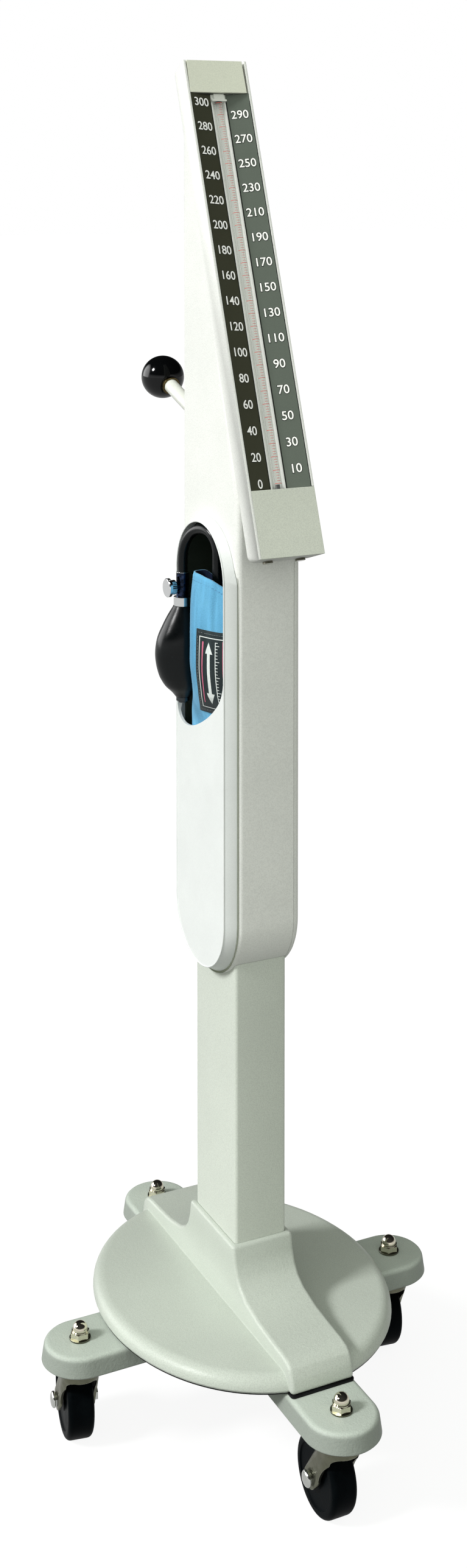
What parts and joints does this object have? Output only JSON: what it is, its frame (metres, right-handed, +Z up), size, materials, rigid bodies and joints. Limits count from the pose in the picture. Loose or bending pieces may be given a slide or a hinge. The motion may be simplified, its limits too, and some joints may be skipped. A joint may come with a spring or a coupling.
{
  "type": "mobile mercury sphygmomanometer",
  "caption": "Blood pressure stand with a backward-leaning mercury column, a cuff pocket with rolled cuff and bulb, a push handle, a slim column and an oval base on swivel casters.",
  "frame": {"origin": "on the floor under the middle of the column and of the four crossed legs", "axes": "+Z up along the column, -Y towards the reader of the scale, -X towards the side with the cuff pocket"},
  "size_m": [0.339, 0.397, 1.0903],
  "materials": {
    "base_enamel": "satin light grey-green enamel",
    "leg_enamel": "satin light grey-green enamel",
    "column_enamel": "satin light grey-green enamel",
    "case_plastic": "fine-grained moulded plastic",
    "cover_plastic": "fine-grained moulded plastic, a little paler",
    "liner_plastic": "dark moulded plastic",
    "cap_enamel": "satin beige-grey",
    "scale_dark": "dark olive scale plate",
    "scale_pale": "grey-green scale plate",
    "channel_white": "off-white backing",
    "tube_glass": "clear glass",
    "mercury_metal": "liquid mercury",
    "zinc": "zinc-plated steel",
    "bearing_steel": "dull steel",
    "nut_chrome": "nickel-plated",
    "bolt_steel": "dull steel",
    "wheel_rubber": "solid black tread and disc",
    "dark_metal": "dark enamel",
    "brass_fitting": "brass",
    "seal_rubber": "black rubber",
    "rod_enamel": "off-white enamel",
    "ball_plastic": "glossy black",
    "cuff_cloth": "sky-blue woven cloth",
    "label_cloth": "black woven patch with a white stitched border",
    "bulb_rubber": "smooth black rubber",
    "valve_chrome": "polished"
  },
  "bodies": {
    "stand": {"leg_frame": "leg_enamel", "base_cover": "base_enamel", "base_bolts": "bolt_steel", "caster_stems": "zinc", "swivel_bearings": "bearing_steel", "stem_washers": "zinc", "acorn_nuts": "nut_chrome", "column_tube": "column_enamel", "column_pads": "dark_metal", "column_screws": "bolt_steel", "housing_body": "case_plastic", "housing_side_cover": "cover_plastic", "cover_screws": "bolt_steel", "pocket_cover": "cover_plastic", "pocket_liner": "liner_plastic", "scale_cap": "cap_enamel", "lower_plate": "cap_enamel", "scale_panel_left": "scale_dark", "scale_panel_right": "scale_pale", "tube_channel": "channel_white", "glass_tube": "tube_glass", "mercury": "mercury_metal", "mercury_reservoir": "dark_metal", "reservoir_lid": "dark_metal", "reservoir_bracket": "bolt_steel", "hose_barb": "brass_fitting", "tube_gland": "seal_rubber", "tube_clip": "zinc", "head_screws": "nut_chrome", "handle_socket": "rod_enamel", "handle_rod": "rod_enamel", "handle_ferrule": "brass_fitting", "ball_knob": "ball_plastic", "cuff": "cuff_cloth", "cuff_bladder": "seal_rubber", "cuff_label": "label_cloth", "bulb": "bulb_rubber", "intake_valve": "valve_chrome", "release_valve": "valve_chrome", "bulb_hose": "seal_rubber"},
    "caster_front": {"caster_fork_front": "zinc", "axle_front": "zinc"},
    "wheel_front": {"wheel_front": "wheel_rubber"},
    "caster_right": {"caster_fork_right": "zinc", "axle_right": "zinc"},
    "wheel_right": {"wheel_right": "wheel_rubber"},
    "caster_back": {"caster_fork_back": "zinc", "axle_back": "zinc"},
    "wheel_back": {"wheel_back": "wheel_rubber"},
    "caster_left": {"caster_fork_left": "zinc", "axle_left": "zinc"},
    "wheel_left": {"wheel_left": "wheel_rubber"},
    "release_knob": {"valve_knob": "valve_chrome"}
  },
  "joints": [
    {"name": "front_swivel", "type": "hinge", "parent": "stand", "child": "caster_front", "pos_m": [0, -0.1685, 0.0655], "axis": [0, 0, 1], "continuous": true},
    {"name": "front_wheel_roll", "type": "hinge", "parent": "caster_front", "child": "wheel_front", "pos_m": [0, -0.1465, 0.03], "axis": [1, 0, 0], "continuous": true},
    {"name": "right_swivel", "type": "hinge", "parent": "stand", "child": "caster_right", "pos_m": [0.1395, 0, 0.0655], "axis": [0, 0, 1], "continuous": true},
    {"name": "right_wheel_roll", "type": "hinge", "parent": "caster_right", "child": "wheel_right", "pos_m": [0.14256, 0.02179, 0.03], "axis": [0.9903, -0.1392, 0], "continuous": true},
    {"name": "back_swivel", "type": "hinge", "parent": "stand", "child": "caster_back", "pos_m": [0, 0.1685, 0.0655], "axis": [0, 0, 1], "continuous": true},
    {"name": "back_wheel_roll", "type": "hinge", "parent": "caster_back", "child": "wheel_back", "pos_m": [0.0023, 0.14662, 0.03], "axis": [-0.9945, -0.1045, 0], "continuous": true},
    {"name": "left_swivel", "type": "hinge", "parent": "stand", "child": "caster_left", "pos_m": [-0.1395, 0, 0.0655], "axis": [0, 0, 1], "continuous": true},
    {"name": "left_wheel_roll", "type": "hinge", "parent": "caster_left", "child": "wheel_left", "pos_m": [-0.13568, 0.02167, 0.03], "axis": [0.9848, -0.1736, 0], "continuous": true},
    {"name": "release_screw", "type": "hinge", "parent": "stand", "child": "release_knob", "pos_m": [-0.052, 0.0255, 0.668], "axis": [-1, 0, 0], "range_deg": [-90, 720]}
  ]
}
